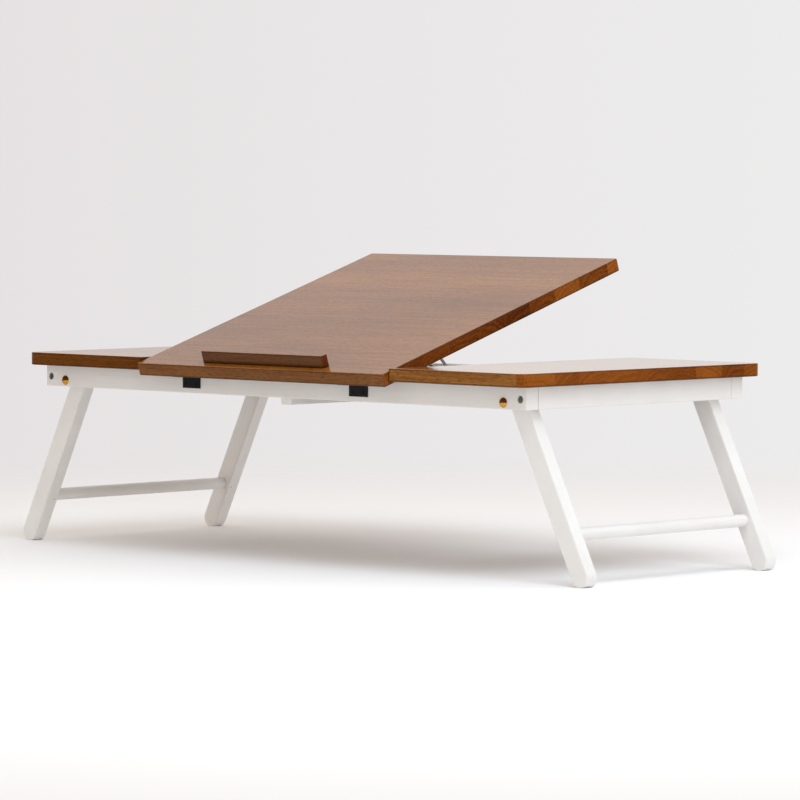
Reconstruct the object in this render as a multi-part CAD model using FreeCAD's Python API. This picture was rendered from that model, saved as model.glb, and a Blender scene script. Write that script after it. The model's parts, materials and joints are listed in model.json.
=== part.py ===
"""Bed tray table with folding legs and a tilting reading panel, millimetres, +Z up.

The front of the table, with the book stop, faces -Y, and its length runs along X. The origin is on
the floor under the middle of the table top. The legs are unfolded, and the reading panel is raised
to its reading tilt. What belongs to the panel is drawn with the panel closed and then turned about
the hinge pins.
"""

import FreeCAD
import Part
import math
import os
from FreeCAD import Vector

X_AXIS = Vector(1, 0, 0)
Y_AXIS = Vector(0, 1, 0)
Z_AXIS = Vector(0, 0, 1)
ORIGIN = Vector(0, 0, 0)
SIDES = {"left": -1, "right": 1}

# Table top: two fixed wing boards and the reading panel between them
TOP_LENGTH = 700.0
TOP_DEPTH = 350.0
TOP_HEIGHT = 200.0
BOARD_THICKNESS = 13.0
TOP_CORNER_RADIUS = 13.0
BOARD_EDGE_ROUND = 1.2
PANEL_WIDTH = 348.0
PANEL_CORNER_RADIUS = 2.5
PANEL_FRONT_OVERHANG = 3.5
PANEL_REAR_OVERHANG = 1.8
PANEL_SIDE_GAP = 1.2
PANEL_SEAT_GAP = 0.3
READING_TILT = 17.48

# Rail frame under the top
RAIL_HEIGHT = 22.0
RAIL_THICKNESS = 17.5
END_RAIL_THICKNESS = 14.5
RAIL_INSET_FRONT = 17.3
RAIL_INSET_END = 11.8
RAIL_EDGE_ROUND = 1.0

# Folding legs
LEG_WIDTH = 20.0
LEG_THICKNESS = 15.3
LEG_SPLAY = 26.0
LEG_EDGE_ROUND = 1.5
LEG_STOP_GAP = 0.3
LEG_SIDE_GAP = 1.6
PIVOT_RISE = 6.5
SOLE_LENGTH = 6.0

# Stretchers between the legs, pinned by headless brads
STRETCHER_DIAMETER = 12.4
STRETCHER_HEIGHT = 48.2
TENON_LENGTH = 10.0
BRAD_DIAMETER = 1.4
BRAD_LENGTH = 15.0

# Pivot bolts, washers and lock nuts
PIVOT_DIAMETER = 6.0
PIVOT_CLEARANCE = 0.05
BOLT_HEAD_DIAMETER = 10.0
BOLT_HEAD_HEIGHT = 3.4
WASHER_DIAMETER = 14.0
NUT_ACROSS_FLATS = 10.0
NUT_HEIGHT = 5.0
BOLT_TIP = 1.0
MOVING_GAP = 0.3

# Butt hinges at the panel's front edge
HINGE_INSET = 56.0
HINGE_WIDTH = 25.0
LEAF_REACH = 15.0
LEAF_THICKNESS = 1.2
KNUCKLE_DIAMETER = 4.0
HINGE_PIN_DIAMETER = 2.0
HINGE_PIN_CLEARANCE = 0.05
HINGE_SCREW_SIDE = 5.0
HINGE_SCREW_EDGE = 4.5
HINGE_SCREW_LENGTH = 10.0

# Book stop along the panel's front edge
STOP_LENGTH = 173.0
STOP_HEIGHT = 12.5
STOP_THICKNESS = 9.2
STOP_SETBACK = 9.0
STOP_END_RADIUS = 4.0
STOP_SCREW_INSET = 27.5
STOP_SCREW_BITE = 9.0

# Wire prop under the panel and the notched rack that it stands on
WIRE_DIAMETER = 3.0
WIRE_BEND_RADIUS = 4.0
WIRE_PANEL_GAP = 0.3
PROP_PIVOT_REACH = 190.0
PROP_LENGTH = 79.4
PROP_RACK_GAP = 3.0
PROP_TIP_GAP = 0.4
CLIP_WIDTH = 10.0
CLIP_METAL = 1.0
CLIP_CLEARANCE = 0.08
CLIP_EAR = 8.0
CLIP_BEND_GAP = 0.5
WIRE_END_LENGTH = 3.0
RACK_WIDTH = 15.0
RACK_DROP = 7.8
RACK_TIP_DROP = 1.4
NOTCH_COUNT = 5
NOTCH_PITCH = 12.0
NOTCH_DEPTH = 4.5
NOTCH_WALL_GAP = 0.6
DOWEL_DIAMETER = 6.0
DOWEL_LENGTH = 20.0
DOWEL_IN_RAIL = 8.0
GLUE_GAP = 0.05

# Wood screws
SCREW_CLEARANCE = 0.05
CORNER_SCREW_RISE = 10.0
CORNER_SCREW_LENGTH = 40.0
CORNER_SCREW_DIAMETER = 4.0
CORNER_HEAD_DIAMETER = 7.0
CORNER_HEAD_HEIGHT = 2.2
CORNER_HEAD_RECESS = 0.8
WING_SCREW_DIAMETER = 3.5
WING_HEAD_DIAMETER = 7.0
WING_HEAD_HEIGHT = 2.4
WING_HEAD_RECESS = 6.0
WING_SCREW_BITE = 9.0
WING_SCREW_INSET = 20.0
WING_SCREW_PIVOT_GAP = 24.0
WING_END_SCREW_INSET = 60.2
SMALL_SCREW_DIAMETER = 2.5
SMALL_HEAD_DIAMETER = 5.0
SMALL_HEAD_HEIGHT = 1.6
CROSS_SLOT = 0.7

# Shares of a screw head: the cross's span and depth, and the rounding of a round head's rim
CROSS_SPAN = 0.55
FLUSH_CROSS_DEPTH = 0.6
PAN_CROSS_DEPTH = 0.5
PAN_RIM_ROUND = 0.4

# Steps in which the prop's way down is followed, and the tolerances for picking edges
STOW_STEPS = 40
PARALLEL_COSINE = 0.9999
SAME_PLANE = 1e-6

# Levels and planes that follow from the driving sizes
BOARD_BOTTOM = TOP_HEIGHT - BOARD_THICKNESS
RAIL_BOTTOM = BOARD_BOTTOM - RAIL_HEIGHT
RAIL_END = TOP_LENGTH / 2 - RAIL_INSET_END
RAIL_FRONT = -TOP_DEPTH / 2 + RAIL_INSET_FRONT
RAIL_INNER = RAIL_FRONT + RAIL_THICKNESS
END_RAIL_INNER = RAIL_END - END_RAIL_THICKNESS
WING_INNER = PANEL_WIDTH / 2 + PANEL_SIDE_GAP
PANEL_BOTTOM = BOARD_BOTTOM + PANEL_SEAT_GAP
PANEL_TOP = PANEL_BOTTOM + BOARD_THICKNESS
PANEL_FRONT = -TOP_DEPTH / 2 - PANEL_FRONT_OVERHANG

# Leg geometry: the outer face of the leg rests on the lower inner edge of the end rail
SPLAY = math.radians(LEG_SPLAY)
LEG_DOWN = Vector(math.sin(SPLAY), 0, -math.cos(SPLAY))
LEG_OUT = Vector(math.cos(SPLAY), 0, math.sin(SPLAY))
PIVOT_Z = RAIL_BOTTOM + PIVOT_RISE
PIVOT_X = END_RAIL_INNER - (LEG_WIDTH / 2 + LEG_STOP_GAP + PIVOT_RISE * LEG_OUT.z) / LEG_OUT.x
LEG_FRONT = RAIL_INNER + LEG_SIDE_GAP
LEG_BACK = LEG_FRONT + LEG_THICKNESS

# Hinge pin axis: one knuckle radius and a moving gap away from the rail and from the panel
KNUCKLE_SWING = KNUCKLE_DIAMETER / 2 + MOVING_GAP
PIN_Y = RAIL_FRONT - KNUCKLE_SWING
PIN_Z = PANEL_BOTTOM - KNUCKLE_SWING

# Hinge places along the panel's front edge, and the screw rows on the leaves
HINGE_X = PANEL_WIDTH / 2 - HINGE_INSET
HINGE_SCREW_HALF = HINGE_WIDTH / 2 - HINGE_SCREW_SIDE
HINGE_SCREW_REACH = LEAF_REACH - HINGE_SCREW_EDGE

# Prop geometry, measured from the hinge pin in the closed panel
WIRE_RADIUS = WIRE_DIAMETER / 2
PROP_PIVOT_DROP = WIRE_PANEL_GAP + WIRE_RADIUS
PROP_PIVOT_Y = PIN_Y + PROP_PIVOT_REACH
PROP_PIVOT_Z = PANEL_BOTTOM - PROP_PIVOT_DROP
PROP_HALF_WIDTH = RACK_WIDTH / 2 + PROP_RACK_GAP + WIRE_RADIUS
CLIP_INNER_X = PROP_HALF_WIDTH + WIRE_BEND_RADIUS + CLIP_BEND_GAP
RACK_TIP = BOARD_BOTTOM - RACK_TIP_DROP
RACK_BOTTOM = RAIL_BOTTOM - RACK_DROP


def turned(point_y, point_z, angle):
    """The height and depth of a point of the closed panel once the panel is tilted by angle."""
    tilt = math.radians(angle)
    reach = point_y - PIN_Y
    rise = point_z - PIN_Z
    y = PIN_Y + reach * math.cos(tilt) - rise * math.sin(tilt)
    z = PIN_Z + reach * math.sin(tilt) + rise * math.cos(tilt)
    return y, z


def prop_swing():
    """The prop's angle below the panel, in degrees, at which its foot stands on the rack tips."""
    pivot_z = turned(PROP_PIVOT_Y, PROP_PIVOT_Z, READING_TILT)[1]
    foot_z = RACK_TIP + PROP_TIP_GAP + WIRE_RADIUS
    return READING_TILT + math.degrees(math.asin((pivot_z - foot_z) / PROP_LENGTH))


def prop_foot(angle):
    """Where the prop's foot is when the panel is tilted by angle and the prop folds in step."""
    swing = prop_swing() * angle / READING_TILT
    lean = math.radians(swing - angle)
    pivot_y, pivot_z = turned(PROP_PIVOT_Y, PROP_PIVOT_Z, angle)
    return pivot_y + PROP_LENGTH * math.cos(lean), pivot_z - PROP_LENGTH * math.sin(lean)


def box(x, y, z):
    """A box between the two values given for each axis."""
    size = (x[1] - x[0], y[1] - y[0], z[1] - z[0])
    return Part.makeBox(*size, Vector(x[0], y[0], z[0]))


def rod(start, along, length, diameter):
    """A round bar from a start point."""
    return Part.makeCylinder(diameter / 2, length, start, along)


def edges_along(shape, axis):
    """The straight edges of a shape that run along an axis."""
    found = []
    for edge in shape.Edges:
        run = edge.Vertexes[-1].Point.sub(edge.Vertexes[0].Point)
        if run.Length > 0 and abs(run.dot(axis)) > PARALLEL_COSINE * run.Length:
            found.append(edge)
    return found


def edges_in_plane(shape, axis, level):
    """The edges of a shape that lie in the plane across an axis at a level."""
    found = []
    for edge in shape.Edges:
        if all(abs(vertex.Point.dot(axis) - level) < SAME_PLANE for vertex in edge.Vertexes):
            found.append(edge)
    return found


def board(x, y, z, corner_radius, corners):
    """A board with rounded plan corners, where corners picks them, and eased top and bottom edges."""
    shape = box(x, y, z)
    picked = [edge for edge in edges_along(shape, Z_AXIS) if corners(edge.Vertexes[0].Point)]
    shape = shape.makeFillet(corner_radius, picked)
    rims = edges_in_plane(shape, Z_AXIS, z[0]) + edges_in_plane(shape, Z_AXIS, z[1])
    return shape.makeFillet(BOARD_EDGE_ROUND, rims)


def mirrored(shape, axis):
    """The mirror image of a shape across the plane through the origin square to an axis."""
    return shape.mirror(ORIGIN, axis)


def tilted(shape):
    """A piece of the closed panel, turned to the reading tilt."""
    copy = shape.copy()
    copy.rotate(Vector(0, PIN_Y, PIN_Z), X_AXIS, READING_TILT)
    return copy


def cross_recess(head, along, size, depth):
    """The cross-shaped cut in a screw head, from the head's face inwards."""
    side = Z_AXIS if abs(along.dot(Z_AXIS)) < 0.5 else Y_AXIS
    other = along.cross(side)
    middle = head + along * (depth / 2)
    slots = []
    for first, second in ((side, other), (other, side)):
        half = first * (size / 2) + second * (CROSS_SLOT / 2) + along * (depth / 2)
        low = Vector(middle.x - abs(half.x), middle.y - abs(half.y), middle.z - abs(half.z))
        slots.append(Part.makeBox(2 * abs(half.x), 2 * abs(half.y), 2 * abs(half.z), low))
    return slots[0].fuse(slots[1])


def flush_screw(head, along, length, diameter, head_diameter):
    """A countersunk wood screw, with the middle of its head's face and its direction."""
    taper = (head_diameter - diameter) / 2
    cone = Part.makeCone(head_diameter / 2, diameter / 2, taper, head, along)
    screw = cone.fuse(rod(head, along, length, diameter)).removeSplitter()
    return screw.cut(cross_recess(head, along, head_diameter * CROSS_SPAN, taper * FLUSH_CROSS_DEPTH))


def flush_hole(head, along, length, diameter, head_diameter):
    """The countersunk hole that a countersunk wood screw sits in."""
    bore = diameter + 2 * SCREW_CLEARANCE
    mouth = head_diameter + 2 * SCREW_CLEARANCE
    taper = (mouth - bore) / 2
    cone = Part.makeCone(mouth / 2, bore / 2, taper, head, along)
    return cone.fuse(rod(head, along, length + SCREW_CLEARANCE, bore))


def pan_screw(seat, along, length, diameter, head_diameter, head_height):
    """A wood screw with a round head, with the middle of the seat under its head."""
    head = rod(seat - along * head_height, along, head_height, head_diameter)
    rim = [edge for edge in head.Edges if edge.Vertexes[0].Point.sub(seat).dot(along) < -0.1]
    head = head.makeFillet(head_height * PAN_RIM_ROUND, [edge for edge in rim if edge.Closed])
    screw = head.fuse(rod(seat, along, length, diameter)).removeSplitter()
    top = seat - along * head_height
    return screw.cut(cross_recess(top, along, head_diameter * CROSS_SPAN, head_height * PAN_CROSS_DEPTH))


def bored(shape, holes):
    """A shape with a list of holes cut in it."""
    for hole in holes:
        shape = shape.cut(hole)
    return shape


def wing_screw_seats(side):
    """The seat of each screw that holds a wing board, recessed in the rails from below."""
    z = RAIL_BOTTOM + WING_HEAD_RECESS + WING_HEAD_HEIGHT
    mid_rail = (RAIL_FRONT + RAIL_INNER) / 2
    mid_end = (END_RAIL_INNER + RAIL_END) / 2
    places = [
        (WING_INNER + WING_SCREW_INSET, mid_rail),
        (PIVOT_X - WING_SCREW_PIVOT_GAP, mid_rail),
        (mid_end, RAIL_INNER + WING_END_SCREW_INSET),
    ]
    return [Vector(side * x, end * y, z) for x, y in places for end in (1, -1)]


def wing_screw_length():
    """From the seat in the rail up into the board."""
    return RAIL_HEIGHT - WING_HEAD_RECESS - WING_HEAD_HEIGHT + WING_SCREW_BITE


def wing_screws(side):
    """The six screws of one wing board."""
    size = (WING_SCREW_DIAMETER, WING_HEAD_DIAMETER, WING_HEAD_HEIGHT)
    return [pan_screw(seat, Z_AXIS, wing_screw_length(), *size) for seat in wing_screw_seats(side)]


def wing_screw_holes(side):
    """The stepped holes of those screws, through the rails and into the board."""
    holes = []
    for seat in wing_screw_seats(side):
        mouth = WING_HEAD_DIAMETER + 2 * MOVING_GAP
        bottom = Vector(seat.x, seat.y, RAIL_BOTTOM)
        holes.append(rod(bottom, Z_AXIS, seat.z - RAIL_BOTTOM, mouth))
        bore = WING_SCREW_DIAMETER + 2 * SCREW_CLEARANCE
        holes.append(rod(seat, Z_AXIS, wing_screw_length() + SCREW_CLEARANCE, bore))
    return holes


def wing_board(side):
    """One fixed end board of the table top."""
    x = (WING_INNER, TOP_LENGTH / 2)
    y = (-TOP_DEPTH / 2, TOP_DEPTH / 2)
    outer = (WING_INNER + TOP_LENGTH / 2) / 2
    shape = board(x, y, (BOARD_BOTTOM, TOP_HEIGHT), TOP_CORNER_RADIUS, lambda p: p.x > outer)
    if side < 0:
        shape = mirrored(shape, X_AXIS)
    return bored(shape, wing_screw_holes(side))


def corner_screw_seats(end):
    """The seat of each corner screw in the front (-1) or rear (1) rail."""
    depth = CORNER_HEAD_RECESS + CORNER_HEAD_HEIGHT
    x = (END_RAIL_INNER + RAIL_END) / 2
    y = end * (-RAIL_FRONT - depth)
    return [Vector(side * x, y, RAIL_BOTTOM + CORNER_SCREW_RISE) for side in SIDES.values()]


def corner_screws():
    """The four screws that draw the long rails onto the end rails."""
    screws = []
    size = (CORNER_SCREW_DIAMETER, CORNER_HEAD_DIAMETER, CORNER_HEAD_HEIGHT)
    for end in (-1, 1):
        for seat in corner_screw_seats(end):
            screws.append(pan_screw(seat, Y_AXIS * -end, CORNER_SCREW_LENGTH, *size))
    return screws


def corner_screw_holes(end):
    """The stepped holes of the corner screws at the front or the rear."""
    holes = []
    for seat in corner_screw_seats(end):
        inward = Y_AXIS * -end
        depth = CORNER_HEAD_RECESS + CORNER_HEAD_HEIGHT
        holes.append(rod(seat - inward * depth, inward, depth, CORNER_HEAD_DIAMETER + MOVING_GAP))
        bore = CORNER_SCREW_DIAMETER + 2 * SCREW_CLEARANCE
        holes.append(rod(seat, inward, CORNER_SCREW_LENGTH + SCREW_CLEARANCE, bore))
    return holes


def rack_dowel(end, gap):
    """One dowel between the rack and the front or rear rail, or its hole with a glue gap."""
    start = Vector(0, end * (-RAIL_INNER + DOWEL_IN_RAIL + gap), (RAIL_BOTTOM + RACK_TIP) / 2)
    return rod(start, Y_AXIS * -end, DOWEL_LENGTH + 2 * gap, DOWEL_DIAMETER + 2 * gap)


def pivot_holes(end):
    """The bores for the pivot bolts in the front or rear rail."""
    start_y = end * -RAIL_FRONT
    bore = PIVOT_DIAMETER + 2 * PIVOT_CLEARANCE
    holes = []
    for side in SIDES.values():
        start = Vector(side * PIVOT_X, start_y, PIVOT_Z)
        holes.append(rod(start, Y_AXIS * -end, RAIL_THICKNESS, bore))
    return holes


def long_rail(end):
    """The front (-1) or rear (1) rail, which runs the full length of the frame."""
    y = sorted((end * -RAIL_FRONT, end * -RAIL_INNER))
    shape = box((-RAIL_END, RAIL_END), y, (RAIL_BOTTOM, BOARD_BOTTOM))
    shape = shape.makeFillet(RAIL_EDGE_ROUND, shape.Edges)
    holes = pivot_holes(end) + corner_screw_holes(end) + [rack_dowel(end, GLUE_GAP)]
    for side in SIDES.values():
        holes += wing_screw_holes(side)
        if end < 0:
            holes += frame_leaf_holes(side)
    return bored(shape, holes)


def end_rail(side):
    """The short rail at one end, butted between the long rails. The open legs rest on it."""
    x = sorted((side * END_RAIL_INNER, side * RAIL_END))
    shape = box(x, (RAIL_INNER, -RAIL_INNER), (RAIL_BOTTOM, BOARD_BOTTOM))
    shape = shape.makeFillet(RAIL_EDGE_ROUND, edges_along(shape, Y_AXIS))
    holes = corner_screw_holes(-1) + corner_screw_holes(1) + wing_screw_holes(side)
    return bored(shape, holes)


def notched_rack():
    """The bar down the middle of the frame, with open notches for the prop's foot."""
    foot_y = prop_foot(READING_TILT)[0]
    slot = WIRE_RADIUS + NOTCH_WALL_GAP
    shape = box((-RACK_WIDTH / 2, RACK_WIDTH / 2), (RAIL_INNER, -RAIL_INNER), (RACK_BOTTOM, RACK_TIP))
    shape = shape.makeFillet(RAIL_EDGE_ROUND, edges_along(shape, Y_AXIS))
    across = (-RACK_WIDTH, RACK_WIDTH)
    for step in range(NOTCH_COUNT):
        y = foot_y - step * NOTCH_PITCH
        floor = RACK_TIP - NOTCH_DEPTH + slot
        notch = box(across, (y - slot, y + slot), (floor, TOP_HEIGHT))
        notch = notch.fuse(rod(Vector(-RACK_WIDTH, y, floor), X_AXIS, 2 * RACK_WIDTH, 2 * slot))
        shape = shape.cut(notch)
    tilts = [READING_TILT * step / STOW_STEPS for step in range(STOW_STEPS + 1)]
    heights = [prop_foot(tilt)[1] for tilt in tilts]
    stow_level = min(heights) - WIRE_RADIUS - PROP_TIP_GAP
    shape = shape.cut(box(across, (foot_y, -RAIL_INNER), (stow_level, TOP_HEIGHT)))
    return bored(shape, [rack_dowel(-1, GLUE_GAP), rack_dowel(1, GLUE_GAP)])


def pivot_bolt(side):
    """The domed pivot bolt of a front leg, through the rail, a washer, the leg and a lock nut."""
    seat = Vector(side * PIVOT_X, RAIL_FRONT, PIVOT_Z)
    radius = BOLT_HEAD_DIAMETER / 2
    dome = (radius**2 + BOLT_HEAD_HEIGHT**2) / (2 * BOLT_HEAD_HEIGHT)
    top = seat - Y_AXIS * BOLT_HEAD_HEIGHT
    ball = Part.makeSphere(dome, top + Y_AXIS * dome)
    head = ball.common(rod(top, Y_AXIS, BOLT_HEAD_HEIGHT, 4 * radius))
    reach = RAIL_THICKNESS + LEG_SIDE_GAP + LEG_THICKNESS + MOVING_GAP + NUT_HEIGHT + BOLT_TIP
    return head.fuse(rod(seat, Y_AXIS, reach, PIVOT_DIAMETER)).removeSplitter()


def pivot_washer(side):
    """The washer that keeps a front leg off its rail."""
    start = Vector(side * PIVOT_X, RAIL_INNER, PIVOT_Z)
    thickness = LEG_SIDE_GAP - MOVING_GAP
    ring = rod(start, Y_AXIS, thickness, WASHER_DIAMETER)
    return ring.cut(rod(start, Y_AXIS, thickness, PIVOT_DIAMETER + 2 * PIVOT_CLEARANCE))


def pivot_nut(side):
    """The hexagon lock nut at the inner end of a front pivot bolt."""
    start = Vector(side * PIVOT_X, LEG_BACK + MOVING_GAP, PIVOT_Z)
    corner = NUT_ACROSS_FLATS / math.sqrt(3)
    points = []
    for turn in range(7):
        angle = math.radians(60 * turn)
        points.append(start + Vector(corner * math.cos(angle), 0, corner * math.sin(angle)))
    nut = Part.Face(Part.makePolygon(points)).extrude(Y_AXIS * NUT_HEIGHT)
    return nut.cut(rod(start, Y_AXIS, NUT_HEIGHT, PIVOT_DIAMETER + 2 * GLUE_GAP))


def pivot_parts(maker):
    """One piece of pivot hardware at each of the four legs."""
    front = [maker(side) for side in SIDES.values()]
    return front + [mirrored(shape, Y_AXIS) for shape in front]


def stretcher_centre():
    """Where the stretcher crosses the middle line of the right front leg."""
    along = (PIVOT_Z - STRETCHER_HEIGHT) / -LEG_DOWN.z
    return Vector(PIVOT_X, 0, PIVOT_Z) + LEG_DOWN * along


def brad(end, gap):
    """A brad through a right leg into the stretcher's tenon, or its hole with a gap."""
    centre = stretcher_centre()
    y = end * -(LEG_BACK - TENON_LENGTH / 2)
    start = Vector(centre.x, y, centre.z) - LEG_OUT * (LEG_WIDTH / 2)
    return rod(start, LEG_OUT, BRAD_LENGTH + gap, BRAD_DIAMETER + 2 * gap)


def leg_stretcher():
    """The round stretcher between the right legs, with its ends glued in them."""
    centre = stretcher_centre()
    half = -LEG_BACK + TENON_LENGTH
    shape = rod(Vector(centre.x, -half, centre.z), Y_AXIS, 2 * half, STRETCHER_DIAMETER)
    return bored(shape, [brad(-1, SCREW_CLEARANCE), brad(1, SCREW_CLEARANCE)])


def leg(end):
    """The right front (-1) or rear (1) leg: round at both ends, with a level sole at the foot."""
    radius = LEG_WIDTH / 2
    foot_height = math.sqrt(radius**2 - (SOLE_LENGTH / 2) ** 2)
    pivot = Vector(PIVOT_X, 0, PIVOT_Z)
    foot = pivot + LEG_DOWN * ((PIVOT_Z - foot_height) / -LEG_DOWN.z)
    half = LEG_OUT * radius
    along = LEG_DOWN * radius
    profile = [
        Part.Arc(pivot - half, pivot - along, pivot + half).toShape(),
        Part.makeLine(pivot + half, foot + half),
        Part.Arc(foot + half, foot + along, foot - half).toShape(),
        Part.makeLine(foot - half, pivot - half),
    ]
    shape = Part.Face(Part.Wire(profile)).extrude(Y_AXIS * LEG_THICKNESS)
    rims = edges_in_plane(shape, Y_AXIS, 0) + edges_in_plane(shape, Y_AXIS, LEG_THICKNESS)
    shape = shape.makeFillet(LEG_EDGE_ROUND, rims)
    shape = shape.cut(box((0, TOP_LENGTH), (0, LEG_THICKNESS), (-LEG_WIDTH, 0)))
    shape.translate(Y_AXIS * (LEG_FRONT if end < 0 else -LEG_BACK))
    centre = stretcher_centre()
    inner_face = end * -LEG_BACK
    bore = PIVOT_DIAMETER + 2 * PIVOT_CLEARANCE
    pivot_start = Vector(PIVOT_X, inner_face, PIVOT_Z)
    socket_start = Vector(centre.x, inner_face, centre.z)
    depth = TENON_LENGTH + GLUE_GAP
    holes = [
        rod(pivot_start, Y_AXIS * end, LEG_THICKNESS, bore),
        rod(socket_start, Y_AXIS * end, depth, STRETCHER_DIAMETER + 2 * GLUE_GAP),
        brad(end, SCREW_CLEARANCE),
    ]
    return bored(shape, holes)


def leg_set(side):
    """The four pieces of one folding leg assembly, by name."""
    pieces = {
        "front_leg": [leg(-1)],
        "rear_leg": [leg(1)],
        "stretcher": [leg_stretcher()],
        "stretcher_brads": [brad(-1, 0), brad(1, 0)],
    }
    if side < 0:
        pieces = {name: [mirrored(s, X_AXIS) for s in shapes] for name, shapes in pieces.items()}
    return pieces


def knuckles(side, spans, bore):
    """The rolled knuckles of a hinge leaf, over the given spans along the pin."""
    centre_x = side * HINGE_X
    rolls = []
    for low, high in spans:
        start = Vector(centre_x + low, PIN_Y, PIN_Z)
        rolls.append(rod(start, X_AXIS, high - low, KNUCKLE_DIAMETER))
    return rolls, rod(Vector(centre_x - HINGE_WIDTH, PIN_Y, PIN_Z), X_AXIS, 2 * HINGE_WIDTH, bore)


def hinge_spans():
    """The two outer knuckles of the frame leaf and the middle knuckle of the panel leaf."""
    half = HINGE_WIDTH / 2
    third = HINGE_WIDTH / 6
    outer = ((-half, -third - MOVING_GAP / 2), (third + MOVING_GAP / 2, half))
    middle = ((-third + MOVING_GAP / 2, third - MOVING_GAP / 2),)
    return outer, middle


def leaf_screw_heads(side, on_frame):
    """The middle of each screw head's face on one hinge leaf."""
    heads = []
    for offset in (-HINGE_SCREW_HALF, HINGE_SCREW_HALF):
        x = side * HINGE_X + offset
        if on_frame:
            heads.append(Vector(x, RAIL_FRONT - LEAF_THICKNESS, PIN_Z - HINGE_SCREW_REACH))
        else:
            heads.append(Vector(x, PIN_Y - HINGE_SCREW_REACH, PANEL_BOTTOM - LEAF_THICKNESS))
    return heads


def leaf_screws(on_frame, maker):
    """The screws, or the holes, of the frame leaves or the panel leaves of both hinges."""
    along = Y_AXIS if on_frame else Z_AXIS
    size = (HINGE_SCREW_LENGTH, SMALL_SCREW_DIAMETER, SMALL_HEAD_DIAMETER)
    heads = leaf_screw_heads(-1, on_frame) + leaf_screw_heads(1, on_frame)
    return [maker(head, along, *size) for head in heads]


def frame_leaf_holes(side):
    """The holes for the frame leaf's screws on one side of the front rail."""
    size = (HINGE_SCREW_LENGTH, SMALL_SCREW_DIAMETER, SMALL_HEAD_DIAMETER)
    return [flush_hole(head, Y_AXIS, *size) for head in leaf_screw_heads(side, True)]


def frame_leaf(side):
    """The hinge leaf on the front rail, with the two outer knuckles."""
    outer = hinge_spans()[0]
    centre_x = side * HINGE_X
    width = (centre_x - HINGE_WIDTH / 2, centre_x + HINGE_WIDTH / 2)
    plate_y = (RAIL_FRONT - LEAF_THICKNESS, RAIL_FRONT)
    shape = box(width, plate_y, (PIN_Z - LEAF_REACH, PIN_Z - KNUCKLE_SWING))
    for low, high in outer:
        finger = (centre_x + low, centre_x + high)
        shape = shape.fuse(box(finger, plate_y, (PIN_Z - KNUCKLE_SWING, PIN_Z)))
    rolls, bore = knuckles(side, outer, HINGE_PIN_DIAMETER)
    shape = shape.fuse(rolls).removeSplitter().cut(bore)
    return bored(shape, frame_leaf_holes(side))


def panel_leaf(side):
    """The hinge leaf under the panel's front edge, with the middle knuckle."""
    middle = hinge_spans()[1]
    centre_x = side * HINGE_X
    width = (centre_x - HINGE_WIDTH / 2, centre_x + HINGE_WIDTH / 2)
    plate_z = (PANEL_BOTTOM - LEAF_THICKNESS, PANEL_BOTTOM)
    shape = box(width, (PIN_Y - LEAF_REACH, PIN_Y - KNUCKLE_SWING), plate_z)
    for low, high in middle:
        finger = (centre_x + low, centre_x + high)
        shape = shape.fuse(box(finger, (PIN_Y - KNUCKLE_SWING, PIN_Y), plate_z))
    rolls, bore = knuckles(side, middle, HINGE_PIN_DIAMETER + 2 * HINGE_PIN_CLEARANCE)
    shape = shape.fuse(rolls).removeSplitter().cut(bore)
    return bored(shape, leaf_screws(False, flush_hole))


def hinge_pin(side):
    """The plain pin through the three knuckles of one hinge."""
    start = Vector(side * HINGE_X - HINGE_WIDTH / 2, PIN_Y, PIN_Z)
    return rod(start, X_AXIS, HINGE_WIDTH, HINGE_PIN_DIAMETER)


def stop_screws(maker):
    """The screws, or the holes, from under the panel up into the book stop."""
    y = PANEL_FRONT + STOP_SETBACK + STOP_THICKNESS / 2
    length = BOARD_THICKNESS + STOP_SCREW_BITE
    reach = STOP_LENGTH / 2 - STOP_SCREW_INSET
    heads = [Vector(x, y, PANEL_BOTTOM) for x in (-reach, reach)]
    return [maker(head, Z_AXIS, length, WING_SCREW_DIAMETER, WING_HEAD_DIAMETER) for head in heads]


def book_stop():
    """The ledge that a book or a laptop leans on."""
    front = PANEL_FRONT + STOP_SETBACK
    x = (-STOP_LENGTH / 2, STOP_LENGTH / 2)
    shape = box(x, (front, front + STOP_THICKNESS), (PANEL_TOP, PANEL_TOP + STOP_HEIGHT))
    shape = shape.makeFillet(STOP_END_RADIUS, edges_along(shape, Z_AXIS))
    shape = shape.makeFillet(BOARD_EDGE_ROUND, edges_in_plane(shape, Z_AXIS, PANEL_TOP + STOP_HEIGHT))
    return bored(shape, stop_screws(flush_hole))


def clip_screw_seats(side):
    """The seat of each screw on the ears of one wire clip."""
    x = side * (CLIP_INNER_X + CLIP_WIDTH / 2)
    hump = WIRE_RADIUS + CLIP_CLEARANCE + CLIP_METAL
    seats = []
    for reach in (-1, 1):
        y = PROP_PIVOT_Y + reach * (hump + CLIP_EAR / 2)
        seats.append(Vector(x, y, PANEL_BOTTOM - CLIP_METAL))
    return seats


def clip_screws(side):
    """The two screws of one wire clip."""
    size = (HINGE_SCREW_LENGTH, SMALL_SCREW_DIAMETER, SMALL_HEAD_DIAMETER, SMALL_HEAD_HEIGHT)
    return [pan_screw(seat, Z_AXIS, *size) for seat in clip_screw_seats(side)]


def clip_screw_holes(side):
    """The plain holes of those screws."""
    bore = SMALL_SCREW_DIAMETER + 2 * SCREW_CLEARANCE
    length = HINGE_SCREW_LENGTH + SCREW_CLEARANCE
    return [rod(seat, Z_AXIS, length, bore) for seat in clip_screw_seats(side)]


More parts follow.
